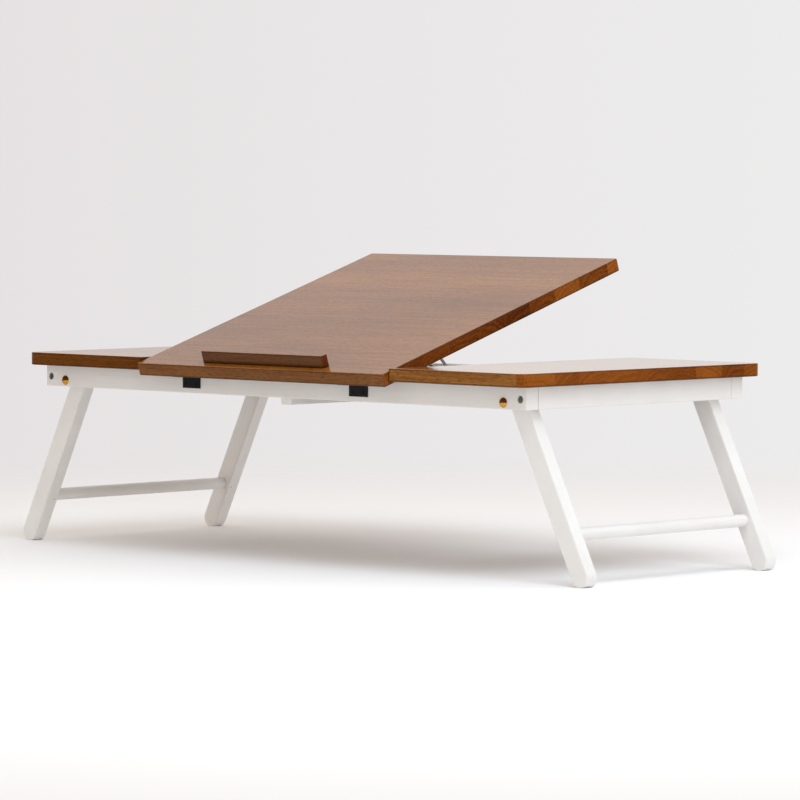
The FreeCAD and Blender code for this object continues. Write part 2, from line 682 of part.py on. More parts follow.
def wire_clip(side):
    """The bent steel strap that holds one end of the prop wire to the panel."""
    inner = WIRE_RADIUS + CLIP_CLEARANCE
    outer = inner + CLIP_METAL
    x = sorted((side * CLIP_INNER_X, side * (CLIP_INNER_X + CLIP_WIDTH)))
    start = Vector(x[0], PROP_PIVOT_Y, PROP_PIVOT_Z)
    walls = (PROP_PIVOT_Z, PANEL_BOTTOM)
    ears_y = (PROP_PIVOT_Y - outer - CLIP_EAR, PROP_PIVOT_Y + outer + CLIP_EAR)
    shape = rod(start, X_AXIS, CLIP_WIDTH, 2 * outer)
    shape = shape.fuse(box(x, (PROP_PIVOT_Y - outer, PROP_PIVOT_Y + outer), walls))
    shape = shape.common(box(x, ears_y, (RAIL_BOTTOM, PANEL_BOTTOM)))
    shape = shape.fuse(box(x, ears_y, (PANEL_BOTTOM - CLIP_METAL, PANEL_BOTTOM)))
    shape = shape.cut(rod(start, X_AXIS, CLIP_WIDTH, 2 * inner))
    shape = shape.cut(box(x, (PROP_PIVOT_Y - inner, PROP_PIVOT_Y + inner), walls))
    return bored(shape.removeSplitter(), clip_screw_holes(side))


def tilt_panel():
    """The reading panel, hinged along its front edge."""
    x = (-PANEL_WIDTH / 2, PANEL_WIDTH / 2)
    y = (PANEL_FRONT, TOP_DEPTH / 2 + PANEL_REAR_OVERHANG)
    shape = board(x, y, (PANEL_BOTTOM, PANEL_TOP), PANEL_CORNER_RADIUS, lambda p: True)
    holes = leaf_screws(False, flush_hole) + stop_screws(flush_hole)
    for side in SIDES.values():
        holes += clip_screw_holes(side)
    return bored(shape, holes)


def bend(corner, before, after):
    """The two ends and the middle of a wire bend at a corner, from and to unit directions."""
    first = corner - before * WIRE_BEND_RADIUS
    last = corner + after * WIRE_BEND_RADIUS
    centre = first + after * WIRE_BEND_RADIUS
    middle = centre + (before - after) * (WIRE_BEND_RADIUS / math.sqrt(2))
    return first, middle, last


def prop_wire():
    """The bent wire prop: two turned-out ends in the clips, two legs and a foot across the rack."""
    end_x = CLIP_INNER_X + CLIP_WIDTH + WIRE_END_LENGTH
    pivot = Vector(0, PROP_PIVOT_Y, PROP_PIVOT_Z)
    half = X_AXIS * PROP_HALF_WIDTH
    reach = Y_AXIS * PROP_LENGTH
    turns = [
        bend(pivot - half, X_AXIS, Y_AXIS),
        bend(pivot - half + reach, Y_AXIS, X_AXIS),
        bend(pivot + half + reach, X_AXIS, Y_AXIS * -1),
        bend(pivot + half, Y_AXIS * -1, X_AXIS),
    ]
    edges = []
    last = pivot - X_AXIS * end_x
    for first, middle, after in turns:
        edges.append(Part.makeLine(last, first))
        edges.append(Part.Arc(first, middle, after).toShape())
        last = after
    edges.append(Part.makeLine(last, pivot + X_AXIS * end_x))
    circle = Part.makeCircle(WIRE_RADIUS, pivot - X_AXIS * end_x, X_AXIS)
    shape = Part.Wire(edges).makePipeShell([Part.Wire(circle)], True, False)
    shape.rotate(pivot, X_AXIS, -prop_swing())
    return tilted(shape)


def frame_nodes():
    """The pieces that stay still: the wing boards, the rails, the rack and what joins them."""
    nodes = {
        "front_rail": [long_rail(-1)],
        "rear_rail": [long_rail(1)],
        "notched_rack": [notched_rack()],
        "rack_dowels": [rack_dowel(-1, 0), rack_dowel(1, 0)],
        "corner_screws": corner_screws(),
        "pivot_bolts": pivot_parts(pivot_bolt),
        "pivot_washers": pivot_parts(pivot_washer),
        "pivot_nuts": pivot_parts(pivot_nut),
        "hinge_frame_screws": leaf_screws(True, flush_screw),
    }
    for name, side in SIDES.items():
        nodes[name + "_wing_board"] = [wing_board(side)]
        nodes[name + "_wing_screws"] = wing_screws(side)
        nodes[name + "_end_rail"] = [end_rail(side)]
        nodes[name + "_hinge_frame_leaf"] = [frame_leaf(side)]
        nodes[name + "_hinge_pin"] = [hinge_pin(side)]
    return nodes


def leg_nodes():
    """The two folding leg assemblies."""
    nodes = {}
    for name, side in SIDES.items():
        for piece, shapes in leg_set(side).items():
            nodes[name + "_" + piece] = shapes
    return nodes


def panel_nodes():
    """The pieces that tilt with the reading panel."""
    nodes = {
        "tilt_panel": [tilt_panel()],
        "book_stop": [book_stop()],
        "book_stop_screws": stop_screws(flush_screw),
        "hinge_panel_screws": leaf_screws(False, flush_screw),
        "wire_clip_screws": clip_screws(-1) + clip_screws(1),
    }
    for name, side in SIDES.items():
        nodes[name + "_hinge_panel_leaf"] = [panel_leaf(side)]
        nodes[name + "_wire_clip"] = [wire_clip(side)]
    return {name: [tilted(shape) for shape in shapes] for name, shapes in nodes.items()}


def solids_of(shapes):
    """The separate solids of a list of shapes."""
    solids = []
    for shape in shapes:
        solids += shape.Solids
    return solids


def main():
    os.makedirs("parts", exist_ok=True)
    nodes = {**frame_nodes(), **leg_nodes(), **panel_nodes(), "prop_wire": [prop_wire()]}
    for name, shapes in nodes.items():
        solids = solids_of(shapes)
        shape = solids[0] if len(solids) == 1 else Part.makeCompound(solids)
        shape.exportStep(f"parts/{name}.step")
        print(f"{name}: {len(solids)} solid(s), {shape.Volume:.0f} mm3, valid {shape.isValid()}")
    pivot_y, pivot_z = turned(PROP_PIVOT_Y, PROP_PIVOT_Z, READING_TILT)
    foot_y, foot_z = prop_foot(READING_TILT)
    print(f"leg pivots at x {PIVOT_X:.3f} z {PIVOT_Z:.3f}")
    print(f"hinge pins at y {PIN_Y:.3f} z {PIN_Z:.3f}")
    print(f"prop pivot at y {pivot_y:.3f} z {pivot_z:.3f}, foot at y {foot_y:.3f} z {foot_z:.3f}")
    print(f"prop swing {prop_swing():.4f} for tilt {READING_TILT}")


main()
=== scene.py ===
# %% [markdown]
# # A bed tray table, dressed for its portrait
# The table stands on splayed white legs. Its top is two fixed boards of brown stained wood with a
# reading panel between them, and the panel is propped up at its back on a thin steel wire.
#
# The construction is already there as a frame of solid pieces in real metres. Nothing in it is
# moved or resized here. This lesson gives every piece the surface of the real one, and sets up a
# camera, a floor and soft light.

# %% Load the frame and note its size
import bmesh
import bpy
import json
import math
from mathutils import Matrix, Vector


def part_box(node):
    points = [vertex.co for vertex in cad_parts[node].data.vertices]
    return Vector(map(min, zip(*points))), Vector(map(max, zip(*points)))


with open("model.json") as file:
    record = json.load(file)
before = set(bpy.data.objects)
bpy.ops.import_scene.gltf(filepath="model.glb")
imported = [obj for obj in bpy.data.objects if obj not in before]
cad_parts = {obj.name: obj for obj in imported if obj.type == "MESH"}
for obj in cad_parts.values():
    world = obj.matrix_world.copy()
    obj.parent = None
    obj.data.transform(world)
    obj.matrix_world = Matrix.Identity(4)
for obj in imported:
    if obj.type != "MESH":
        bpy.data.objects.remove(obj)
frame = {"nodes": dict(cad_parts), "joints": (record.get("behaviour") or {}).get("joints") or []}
nodes = frame["nodes"]
joints = {joint["name"]: joint for joint in frame["joints"]}
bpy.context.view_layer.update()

# %% [markdown]
# ## The camera
# The picture was taken from the front right, a little above the table top, through a long lens:
# the table's parallel edges stay almost parallel. A short lens close by would give the same size
# in the picture, but would spread the near leg and shrink the far one. The camera is placed by
# its two angles and its distance from a point near the middle of the table.

# %% Camera from its angles
AZIMUTH = math.radians(44.182)
ELEVATION = math.radians(2.960)
ROLL = math.radians(0.086)
DISTANCE = 4.6941
AIM = Vector((0.00482, 0.01597, 0.15631))
LENS = 208.25
SENSOR = 36.0


def portrait_camera():
    """The camera that looks at AIM from AZIMUTH and ELEVATION, with a slight roll."""
    back = Vector((
        math.sin(AZIMUTH) * math.cos(ELEVATION),
        -math.cos(AZIMUTH) * math.cos(ELEVATION),
        math.sin(ELEVATION),
    ))
    right = Vector((math.cos(AZIMUTH), math.sin(AZIMUTH), 0))
    up = back.cross(right)
    turned_right = right * math.cos(ROLL) + up * math.sin(ROLL)
    turned_up = up * math.cos(ROLL) - right * math.sin(ROLL)
    data = bpy.data.cameras.new("portrait_lens")
    data.lens = LENS
    data.sensor_width = SENSOR
    data.clip_end = 50
    camera = bpy.data.objects.new("portrait_camera", data)
    turn = Matrix((turned_right, turned_up, back)).transposed().to_4x4()
    camera.matrix_world = Matrix.Translation(AIM + back * DISTANCE) @ turn
    bpy.context.scene.collection.objects.link(camera)
    return camera


camera = portrait_camera()
bpy.context.scene.camera = camera
print("camera at", [round(value, 3) for value in camera.matrix_world.translation])

# %% [markdown]
# ## Colours and nodes
# Colours are written as sRGB hex, the way a paint chart gives them, and turned to the linear
# values that light is added up in. Surfaces are made of shader nodes. One function adds a node
# with its settings and its links, so that a recipe reads from top to bottom.


# %% One function for colour, one for nodes
def colour(hex_code):
    """Linear red, green, blue and alpha of an sRGB hex colour."""
    channels = [int(hex_code[place:place + 2], 16) / 255 for place in (1, 3, 5)]
    linear = [c / 12.92 if c <= 0.04045 else ((c + 0.055) / 1.055) ** 2.4 for c in channels]
    return (*linear, 1.0)


def add(tree, kind, inputs, stops=(), **settings):
    """Adds one shader node. A value in inputs is a number, a colour or another node's socket."""
    made = tree.nodes.new("ShaderNode" + kind)
    for name, value in settings.items():
        setattr(made, name, value)
    for socket, value in inputs.items():
        if isinstance(value, bpy.types.NodeSocket):
            tree.links.new(value, made.inputs[socket])
        else:
            made.inputs[socket].default_value = value
    if stops:
        ramp = made.color_ramp
        for place, _ in stops[2:]:
            ramp.elements.new(place)
        for element, (place, hex_code) in zip(ramp.elements, stops):
            element.position = place
            element.color = colour(hex_code)
    return made


def new_material(name):
    """An empty node material and its tree, with the shader and the output joined."""
    material = bpy.data.materials.new(name)
    material.use_nodes = True
    return material, material.node_tree, material.node_tree.nodes["Principled BSDF"]


print("white chart value", colour("#F2F0ED")[:3])

# %% [markdown]
# ## Floor, background and light
# The studio is a pale paper sweep under broad soft light. A wall would stand in the way when the
# table is looked at from behind, so the floor is a disc that fades out, and the background is the
# world itself.

# %% Floor disc that fades into the background
FLOOR_RADIUS = 6.0
FADE_CENTRE = (0.42, -0.43, 0.0)
FADE_START = 0.8
FADE_END = 2.4
PAPER_WHITE = "#FCFCFC"


def paper_floor():
    """A pale disc whose rim is see-through, so that no horizon shows."""
    mesh = bpy.data.meshes.new("paper_floor")
    build = bmesh.new()
    bmesh.ops.create_circle(build, cap_ends=True, segments=96, radius=FLOOR_RADIUS)
    build.to_mesh(mesh)
    build.free()
    floor = bpy.data.objects.new("paper_floor", mesh)
    bpy.context.scene.collection.objects.link(floor)
    material, tree, shader = new_material("matt_paper")
    shader.inputs["Base Color"].default_value = colour(PAPER_WHITE)
    shader.inputs["Roughness"].default_value = 0.9
    shader.inputs["Specular IOR Level"].default_value = 0.1
    place = add(tree, "TexCoord", {})
    off = add(tree, "VectorMath", {
        0: place.outputs["Object"], 1: FADE_CENTRE,
    }, operation="SUBTRACT")
    reach = add(tree, "VectorMath", {0: off.outputs[0]}, operation="LENGTH")
    fade = add(tree, "MapRange", {
        "Value": reach.outputs["Value"], "From Min": FADE_START, "From Max": FADE_END,
    }, interpolation_type="SMOOTHERSTEP")
    clear = add(tree, "BsdfTransparent", {})
    mix = add(tree, "MixShader", {
        0: fade.outputs["Result"], 1: shader.outputs[0], 2: clear.outputs[0],
    })
    tree.links.new(mix.outputs[0], tree.nodes["Material Output"].inputs["Surface"])
    mesh.materials.append(material)
    return floor


print("floor", paper_floor().name, "radius", FLOOR_RADIUS, "m")

# %% [markdown]
# The world is three things at once. To surfaces it is even, slightly warm light, which keeps the
# shadow soft and the rails pale. To the camera it is the pale paper, a little darker on the left.
# To shiny surfaces it is the room with the sweep in it. Light Path tells the world which kind of
# ray is asking, and two mixes pick the answer.
#
# What shiny surfaces mirror matters as much as what lights them. The pale sweep fills only the
# back left of the room, and the rest of it is dim. The lacquered tops mirror the sweep and turn
# pale, while the front and end faces mirror the dim side and keep their deep brown.

# %% World
AMBIENT = 0.788
AMBIENT_TINT = "#FFF6EF"
MIRRORED_WHITE = "#FFFFFF"
SWEEP_LEFT = "#E6E2E3"
SWEEP_RIGHT = "#EDECEC"
SWEEP_ACROSS = Vector((0.717, 0.697, 0.0))
SWEEP_SPREAD = 0.085
SWEEP_HEADING = Vector((-0.70, 0.64, 0.32)).normalized()
SWEEP_CORE = 0.79
SWEEP_RIM = 0.30
SWEEP_SHINE = 0.92
ROOM_SHINE = 0.10


def studio_world():
    """Even light from all round, with the sweep in what the camera and shiny surfaces see."""
    world = bpy.data.worlds.new("studio")
    world.use_nodes = True
    tree = world.node_tree
    heading = add(tree, "TexCoord", {}).outputs["Generated"]
    light = add(tree, "Background", {"Color": colour(AMBIENT_TINT), "Strength": AMBIENT})
    toward = add(tree, "VectorMath", {0: heading, 1: SWEEP_HEADING}, operation="DOT_PRODUCT")
    shine = add(tree, "MapRange", {
        "Value": toward.outputs["Value"], "From Min": SWEEP_RIM, "From Max": SWEEP_CORE,
        "To Min": ROOM_SHINE, "To Max": SWEEP_SHINE,
    }, interpolation_type="SMOOTHSTEP").outputs[0]
    mirrored = add(tree, "Background", {"Color": colour(MIRRORED_WHITE), "Strength": shine})
    across = add(tree, "VectorMath", {0: heading, 1: SWEEP_ACROSS}, operation="DOT_PRODUCT")
    share = add(tree, "MapRange", {
        "Value": across.outputs["Value"], "From Min": -SWEEP_SPREAD, "From Max": SWEEP_SPREAD,
    }).outputs[0]
    paper = add(tree, "Mix", {
        0: share, 6: colour(SWEEP_LEFT), 7: colour(SWEEP_RIGHT),
    }, data_type="RGBA").outputs[2]
    seen = add(tree, "Background", {"Color": paper, "Strength": 1.0})
    ray = add(tree, "LightPath", {}).outputs
    direct = add(tree, "Math", {
        0: ray["Is Camera Ray"], 1: ray["Is Transmission Ray"],
    }, operation="MAXIMUM").outputs[0]
    lit = add(tree, "MixShader", {
        0: ray["Is Glossy Ray"], 1: light.outputs[0], 2: mirrored.outputs[0],
    }).outputs[0]
    mix = add(tree, "MixShader", {0: direct, 1: lit, 2: seen.outputs[0]})
    tree.links.new(mix.outputs[0], tree.nodes["World Output"].inputs["Surface"])
    bpy.context.scene.world = world


studio_world()
print("ambient light", AMBIENT)

# %% [markdown]
# One large soft lamp, a little cool, stands high at the front right, so the shadow of the top
# falls back and to the left on the floor. A small lamp at the back right opens the inner sides of
# the legs. They add to the even light until a colour renders about as it is written.

# %% Lamps
KEY_PLACE = Vector((1.05, -0.62, 1.75))
KEY_SIZE = 1.1
KEY_WATTS = 18.8
KEY_TINT = "#E2F2FF"
FILL_PLACE = Vector((1.2, 0.6, 0.8))
FILL_SIZE = 0.8
FILL_WATTS = 3.4
FILL_TINT = "#DFF0FF"


def soft_lamp(name, place, size, watts, tint):
    """A square lamp that faces the middle of the table."""
    data = bpy.data.lights.new(name, "AREA")
    data.size = size
    data.energy = watts
    data.color = colour(tint)[:3]
    lamp = bpy.data.objects.new(name, data)
    lamp.location = place
    lamp.rotation_euler = (place - AIM).to_track_quat("Z", "Y").to_euler()
    lamp.visible_camera = False
    bpy.context.scene.collection.objects.link(lamp)


soft_lamp("front_softbox", KEY_PLACE, KEY_SIZE, KEY_WATTS, KEY_TINT)
soft_lamp("side_fill", FILL_PLACE, FILL_SIZE, FILL_WATTS, FILL_TINT)
bpy.context.scene.view_settings.view_transform = "Standard"
print("key", KEY_WATTS, "watts, fill", FILL_WATTS, "watts")

# %% [markdown]
# ## Where a point is on its piece
# A real piece of wood is cut first and set at an angle later, so its grain leans with it. The
# patterns here are laid in millimetres, in axes turned back by the angle of the piece. The legs
# and the raised panel are dressed as if they lay square on the bench. The panel stands raised by
# the angle that it can close by, so its joint's lower limit gives the turn.

# %% Millimetres on a piece
METRE = 1000.0  # millimetres
NO_TURN = Matrix.Identity(3)


def on_piece(tree, turn=NO_TURN):
    """A point's place in millimetres, in axes in which the piece lies square, and its normal."""
    coordinates = add(tree, "TexCoord", {})
    place = add(tree, "Mapping", {
        "Vector": coordinates.outputs["Object"],
        "Scale": (METRE, METRE, METRE),
        "Rotation": turn.to_euler(),
    })
    return place.outputs[0], coordinates.outputs["Normal"]


def local_box(node, turn):
    """The lowest and highest corner of a node in millimetres, in axes in which it lies square."""
    points = [turn @ vertex.co * METRE for vertex in nodes[node].data.vertices]
    low = [min(point[axis] for point in points) for axis in range(3)]
    high = [max(point[axis] for point in points) for axis in range(3)]
    return low, high


reading_tilt = math.radians(-joints["panel_tilt"]["range_deg"][0])
panel_turn = Matrix.Rotation(-reading_tilt, 3, "X")
panel_low, panel_high = local_box("tilt_panel", panel_turn)
print("panel thickness", round(panel_high[2] - panel_low[2], 2), "mm")

# %% [markdown]
# ## Where the edges of a piece are
# Stain gathers and paint rubs thin along the edges first. The render needs to know how far a
# point is from the nearest edge of its board. A board is a box, so the distances to its three
# pairs of faces are enough: on a face the smallest is zero, and the middle one is the distance to
# the nearest edge. A node that measures sharpness from the mesh would also do, but it needs a
# dense mesh, and these boards have few corners.


# %% Distance to the nearest edge of a box
def edge_distance(tree, place, low, high):
    """The distance in millimetres from a point on a box to the box's nearest edge."""
    middle = (Vector(low) + Vector(high)) / 2
    half = (Vector(high) - Vector(low)) / 2
    off = add(tree, "VectorMath", {0: place, 1: tuple(middle)}, operation="SUBTRACT")
    size = add(tree, "VectorMath", {0: off.outputs[0]}, operation="ABSOLUTE")
    depth = add(tree, "VectorMath", {0: tuple(half), 1: size.outputs[0]}, operation="SUBTRACT")
    axes = add(tree, "SeparateXYZ", {0: depth.outputs[0]}).outputs
    lower = add(tree, "Math", {0: axes[0], 1: axes[1]}, operation="MINIMUM")
    upper = add(tree, "Math", {0: axes[0], 1: axes[1]}, operation="MAXIMUM")
    other = add(tree, "Math", {0: upper.outputs[0], 1: axes[2]}, operation="MINIMUM")
    nearest = add(tree, "Math", {0: lower.outputs[0], 1: other.outputs[0]}, operation="MAXIMUM")
    return nearest.outputs[0]


stop_low, stop_high = local_box("book_stop", panel_turn)
print("book stop", [round(b - a, 1) for a, b in zip(stop_low, stop_high)], "mm")

# %% [markdown]
# ## Walnut-stained rubberwood with satin lacquer
# The boards are rubberwood, glued up from strips about 40 mm wide, stained walnut brown and
# sprayed with a clear satin lacquer. The grain runs along the length of the table, so the front
# edges show long fibres and short open pores, and the ends and the sides of the panel show end
# grain: each strip has its own growth rings there, and has drunk in more stain.
#
# A flat picture of wood would not match at the corners. This recipe is solid: it is worked out
# from a point's place in the board, so rings on an end run on into stripes on the faces beside
# it, as when a real board is sawn. It starts with the strips. They are cells along a line across
# the board, of uneven width, and each cell has three random numbers of its own.

# %% Glued strips
STRIP_WIDTH = 40.0
STRIP_UNEVENNESS = 0.55


def glued_strip(tree, place, first_strip):
    """The middle of the strip that a point is in, and the strip's own three random numbers."""
    axes = add(tree, "SeparateXYZ", {0: place}).outputs
    across = add(tree, "Math", {
        0: axes["Y"], 1: 1 / STRIP_WIDTH, 2: first_strip,
    }, operation="MULTIPLY_ADD")
    strip = add(tree, "TexVoronoi", {
        "W": across.outputs[0], "Scale": 1.0, "Randomness": STRIP_UNEVENNESS,
    }, voronoi_dimensions="1D")
    middle_y = add(tree, "Math", {
        0: strip.outputs["W"], 1: STRIP_WIDTH, 2: -first_strip * STRIP_WIDTH,
    }, operation="MULTIPLY_ADD")
    chance = add(tree, "SeparateXYZ", {0: strip.outputs["Color"]}).outputs
    return middle_y.outputs[0], chance


print("strips in the panel", round((panel_high[1] - panel_low[1]) / STRIP_WIDTH, 1))

# %% [markdown]
# Growth rings lie round the heart of the tree. Two of a strip's random numbers say where its
# heart was, and the point's distance from there gives the ring. The rings are noise along that
# distance instead of even waves, because no two years are alike. A slow wander along the grain
# keeps them from running ruler-straight, and the third random number gives each strip years of
# its own.

# %% Growth rings
RING_WIDTH = 3.4
RING_SLIP = 9.0
RING_SHUFFLE = 50.0
WANDER_SIZE = (160.0, 22.0, 22.0)
HEART_SIDE = 30.0
HEART_NEAR = 20.0
HEART_FAR = 75.0


def growth_rings(tree, place, middle_y, middle_z, chance):
    """Rings from 0 to 1, round a heart that lies below the strip."""
    axes = add(tree, "SeparateXYZ", {0: place}).outputs
    heart_y = add(tree, "MapRange", {
        "Value": chance["X"], "To Min": -HEART_SIDE, "To Max": HEART_SIDE,
    })
    heart_z = add(tree, "MapRange", {
        "Value": chance["Y"], "To Min": HEART_NEAR, "To Max": HEART_FAR,
    })
    near_y = add(tree, "Math", {0: axes["Y"], 1: middle_y}, operation="SUBTRACT")
    off_y = add(tree, "Math", {0: near_y.outputs[0], 1: heart_y.outputs[0]}, operation="ADD")
    near_z = add(tree, "Math", {0: axes["Z"], 1: middle_z}, operation="SUBTRACT")
    off_z = add(tree, "Math", {0: near_z.outputs[0], 1: heart_z.outputs[0]}, operation="ADD")
    from_heart = add(tree, "CombineXYZ", {0: off_y.outputs[0], 1: off_z.outputs[0]})
    radius = add(tree, "VectorMath", {0: from_heart.outputs[0]}, operation="LENGTH")
    wander = add(tree, "Mapping", {"Vector": place, "Scale": [1 / size for size in WANDER_SIZE]})
    drift = add(tree, "TexNoise", {"Vector": wander.outputs[0], "Scale": 1.0, "Detail": 2.0})
    slip = add(tree, "Math", {0: drift.outputs["Fac"], 1: RING_SLIP}, operation="MULTIPLY")
    wavy = add(tree, "Math", {0: radius.outputs["Value"], 1: slip.outputs[0]}, operation="ADD")
    count = add(tree, "Math", {0: wavy.outputs[0], 1: RING_WIDTH}, operation="DIVIDE")
    shuffled = add(tree, "Math", {
        0: chance["Z"], 1: RING_SHUFFLE, 2: count.outputs[0],
    }, operation="MULTIPLY_ADD")
    rings = add(tree, "TexNoise", {
        "W": shuffled.outputs[0], "Scale": 1.0, "Detail": 1.5, "Roughness": 0.6,
    }, noise_dimensions="1D")
    return rings.outputs["Fac"]


print("rings", RING_WIDTH, "mm apart, hearts", HEART_NEAR, "to", HEART_FAR, "mm below")

# %% [markdown]
# Three finer patterns lie over the rings. Fibres are noise drawn out along the board. Open pores
# are short dashes, in which stain sits dark. Blotches are where the wood drank in more or less of
# it. Each size is in millimetres along, across and through the board. Real pores are about
# 0.2 mm wide. They are drawn wider here, so that they show in the picture.

# %% Fibres, pores and blotches
FIBRE_SIZE = (70.0, 1.3, 1.3)
PORE_SIZE = (9.0, 0.85, 0.85)
PORE_CORE = 0.16
PORE_RIM = 0.42
BLOTCH_WIDTH = 90.0
BLOTCH_WIDTH_TO_LENGTH = 0.35
BLOTCH_SIZE = (BLOTCH_WIDTH / BLOTCH_WIDTH_TO_LENGTH, BLOTCH_WIDTH, BLOTCH_WIDTH)


def fibres_pores_blotches(tree, place):
    """Three patterns from 0 to 1: long fibres, short open pores and slow blotches of stain."""
    stretch = add(tree, "Mapping", {"Vector": place, "Scale": [1 / size for size in FIBRE_SIZE]})
    fibres = add(tree, "TexNoise", {"Vector": stretch.outputs[0], "Scale": 1.0, "Detail": 3.0})
    dashes = add(tree, "Mapping", {"Vector": place, "Scale": [1 / size for size in PORE_SIZE]})
    cells = add(tree, "TexVoronoi", {"Vector": dashes.outputs[0], "Scale": 1.0})
    pores = add(tree, "MapRange", {
        "Value": cells.outputs["Distance"], "From Min": PORE_CORE, "From Max": PORE_RIM,
        "To Min": 1.0, "To Max": 0.0,
    })
    wide = add(tree, "Mapping", {"Vector": place, "Scale": [1 / size for size in BLOTCH_SIZE]})
    blotch = add(tree, "TexNoise", {"Vector": wide.outputs[0], "Scale": 1.0, "Detail": 3.0})
    return fibres.outputs["Fac"], pores.outputs[0], blotch.outputs["Fac"]


print("pores", PORE_SIZE[0], "by", PORE_SIZE[1], "mm")

# %% [markdown]
# Ends and faces take stain differently, so the recipe has to know which one a point is on. The
# normal tells: on end grain it points along the board, and on a broad face up or down. Both masks
# blend over the rounded corners, so the colour does not jump there.

# %% End grain and broad faces
END_GRAIN_FROM = 0.15
END_GRAIN_TO = 0.45
BROAD_FROM = 0.55
BROAD_TO = 0.85


def face_masks(tree, normal, turn):
    """Two masks from 0 to 1: the ends of a board, and its broad faces."""
    square = add(tree, "Mapping", {"Vector": normal, "Rotation": turn.to_euler()})
    facing = add(tree, "VectorMath", {0: square.outputs[0]}, operation="ABSOLUTE")
    axes = add(tree, "SeparateXYZ", {0: facing.outputs[0]}).outputs
    end_grain = add(tree, "MapRange", {
        "Value": axes["X"], "From Min": END_GRAIN_FROM, "From Max": END_GRAIN_TO,
    }, interpolation_type="SMOOTHSTEP")
    broad = add(tree, "MapRange", {
        "Value": axes["Z"], "From Min": BROAD_FROM, "From Max": BROAD_TO,
    }, interpolation_type="SMOOTHSTEP")
    return end_grain.outputs[0], broad.outputs[0]


print("end grain from", round(math.degrees(math.asin(END_GRAIN_FROM))), "degrees into the corner")

# %% [markdown]
# The patterns add up to one tone from dark to light. Each is centred on zero first, so that it
# darkens as much as it lightens. Noise seldom leaves the middle half of its range, so that half
# is taken as the whole. Fibres and blotches weigh the same everywhere, but rings and the strips'
# own tones weigh more on the ends, where a real board shows them best. Two colour ramps turn the
# tone into stained wood: golden brown on the faces, deep red-brown on the ends.

# %% Tone and colour of the wood
MIDDLE_TONE = 0.5
NOISE_REACH = (0.25, 0.75)
BLOTCH_REACH = (0.3, 0.7)
FACE_RINGS = 0.16
END_RINGS = 0.24
FACE_STRIPS = 0.10
FIBRE_SHARE = 0.42
BLOTCH_SHARE = 0.32
FACE_TONES = [(0.0, "#5E3410"), (0.35, "#8A5625"), (0.65, "#A16A31"), (1.0, "#BC8244")]
END_TONES = [(0.0, "#421C04"), (0.35, "#6F390F"), (0.65, "#8A4C19"), (1.0, "#A46224")]


def wood_colour(tree, rings, chance, fibres, blotch, end_grain, strip_spread):
    """The wood before the board's own stain. strip_spread is how far strips differ on the ends."""
    ring_share = add(tree, "MapRange", {
        "Value": end_grain, "To Min": FACE_RINGS, "To Max": END_RINGS,
    })
    strip_share = add(tree, "MapRange", {
        "Value": end_grain, "To Min": FACE_STRIPS, "To Max": strip_spread,
    })
    tone = MIDDLE_TONE
    for pattern, (dark, light), share in (
        (rings, NOISE_REACH, ring_share.outputs[0]),
        (chance["Z"], (0.0, 1.0), strip_share.outputs[0]),
        (fibres, NOISE_REACH, FIBRE_SHARE),
        (blotch, BLOTCH_REACH, BLOTCH_SHARE),
    ):
        centred = add(tree, "MapRange", {
            "Value": pattern, "From Min": dark, "From Max": light, "To Min": -0.5, "To Max": 0.5,
        })
        tone = add(tree, "Math", {
            0: centred.outputs[0], 1: share, 2: tone,
        }, operation="MULTIPLY_ADD").outputs[0]
    face = add(tree, "ValToRGB", {"Fac": tone}, stops=FACE_TONES)
    end = add(tree, "ValToRGB", {"Fac": tone}, stops=END_TONES)
    return add(tree, "Mix", {
        0: end_grain, 6: face.outputs[0], 7: end.outputs[0],
    }, data_type="RGBA").outputs[2]


print("tones on the faces", [hex_code for _, hex_code in FACE_TONES])

# %% [markdown]
# Wiped stain gathers where the cloth misses it, in the pores. Two more marks are painted shade: a
# dark line along the corners of the narrow faces, where a thin shadow falls, and a darkening from
# their lower edge on over the underside, where the board shades itself. Each of these is a mask
# that mixes in a darker brown.

# %% Where stain gathers
PORE_DEPTH = 0.72
PORE_BROWN = "#3A1C0A"
# painted shade: a dark brown line along the corners of the narrow faces, where a thin shadow falls
CORNER_SHADE_INNER = 0.4
CORNER_SHADE_OUTER = 1.9
CORNER_SHADE_DEPTH = 0.6
CORNER_SHADE_BROWN = "#2E1406"
# painted shade: a darker brown over the underside and the lowest millimetres of each board
UNDERSIDE_SHADE_REACH = 2.2
UNDERSIDE_SHADE_DEPTH = 0.7
UNDERSIDE_SHADE_BROWN = "#3A1907"


